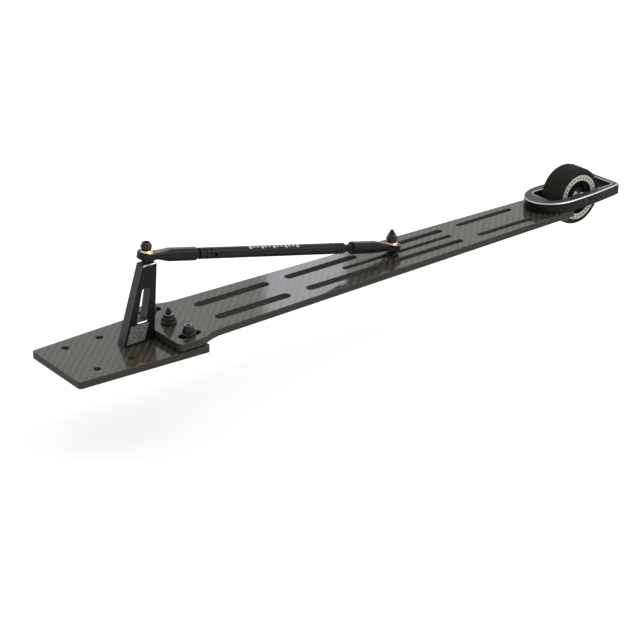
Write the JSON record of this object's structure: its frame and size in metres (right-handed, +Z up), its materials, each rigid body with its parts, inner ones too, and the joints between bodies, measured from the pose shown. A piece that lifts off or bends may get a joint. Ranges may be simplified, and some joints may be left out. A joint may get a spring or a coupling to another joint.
{
  "type": "wheelie bar",
  "caption": "Radio-controlled drag car wheelie bar: slotted carbon plank on a chassis tail plate, tower, adjustable turnbuckle rod and a small trailing wheel in a carrier.",
  "frame": {"origin": "centre of the four chassis bolt holes, on the tail plate's bottom face", "axes": "+X rearwards along the bar to the wheel, +Z up, symmetric about Y = 0"},
  "size_m": [0.306, 0.0428, 0.049],
  "materials": {
    "carbon_plate": "glossy clear coat over a twill weave",
    "black_anodised": "black anodised, satin, with bright machined chamfers",
    "black_oxide_steel": "black oxide, semi-gloss",
    "bright_steel": "bright turned steel",
    "gilt_ball": "polished gold coating",
    "moulded_nylon": "moulded, slightly shiny",
    "nylon_insert": "matt",
    "wheel_plastic": "moulded",
    "pale_ring": "satin, with printed tick marks",
    "tyre_rubber": "slick matt rubber"
  },
  "bodies": {
    "tail": {"tail_plate": "carbon_plate", "tower": "black_anodised", "tower_screws": "black_oxide_steel", "front_ball_spacer": "black_anodised", "front_pivot_ball": "gilt_ball", "front_ball_screw": "black_oxide_steel", "mount_screws": "black_oxide_steel", "mount_washers": "black_oxide_steel", "centre_locknut": "black_oxide_steel", "centre_nut_insert": "nylon_insert", "side_locknuts": "black_oxide_steel", "side_nut_inserts": "nylon_insert"},
    "bar": {"bar_plank": "carbon_plate", "rear_ball_screw": "black_oxide_steel", "rear_ball_spacer": "black_anodised", "rear_pivot_ball": "gilt_ball", "rear_locknut": "black_oxide_steel", "rear_nut_insert": "nylon_insert", "wheel_carrier": "black_anodised", "carrier_screws": "black_oxide_steel", "wheel_axle": "black_oxide_steel", "axle_spacers": "bright_steel", "bearing_inner_races": "bright_steel"},
    "wheel": {"bearing_outer_races": "bright_steel", "wheel_core": "wheel_plastic", "rim_rings": "pale_ring", "tyre": "tyre_rubber"},
    "front_link": {"front_rod_end": "moulded_nylon"},
    "turnbuckle": {"turnbuckle_tube": "black_anodised", "front_thread_stud": "black_oxide_steel", "rear_thread_stud": "black_oxide_steel"},
    "rear_link": {"rear_rod_end": "moulded_nylon"}
  },
  "joints": [
    {"name": "bar_pitch", "type": "hinge", "parent": "tail", "child": "bar", "pos_m": [0.0345, 0, 0.0052], "axis": [0, -1, 0], "range_deg": [-2.7, 2.7]},
    {"name": "wheel_spin", "type": "hinge", "parent": "bar", "child": "wheel", "pos_m": [0.2623, 0, 0.00925], "axis": [0, 1, 0], "continuous": true},
    {"name": "rod_swing", "type": "hinge", "parent": "tail", "child": "front_link", "pos_m": [0.0244, 0, 0.03895], "axis": [0, -1, 0], "range_deg": [-2.5, 2.5]},
    {"name": "turnbuckle_turn", "type": "hinge", "parent": "front_link", "child": "turnbuckle", "pos_m": [0.0244, 0, 0.03895], "axis": [0.9755, 0, -0.2198], "range_deg": [-540, 540]},
    {"name": "rod_extend", "type": "slide", "parent": "front_link", "child": "rear_link", "axis": [0.9755, 0, -0.2198], "range_m": [-0.0015, 0.0015]}
  ],
  "couplings": [
    {"joint": "rod_swing", "follows": "bar_pitch", "ratio": 0.86815},
    {"joint": "rod_extend", "follows": "bar_pitch", "m_per_rad": -0.030704},
    {"joint": "turnbuckle_turn", "follows": "bar_pitch", "ratio": -192.92}
  ]
}
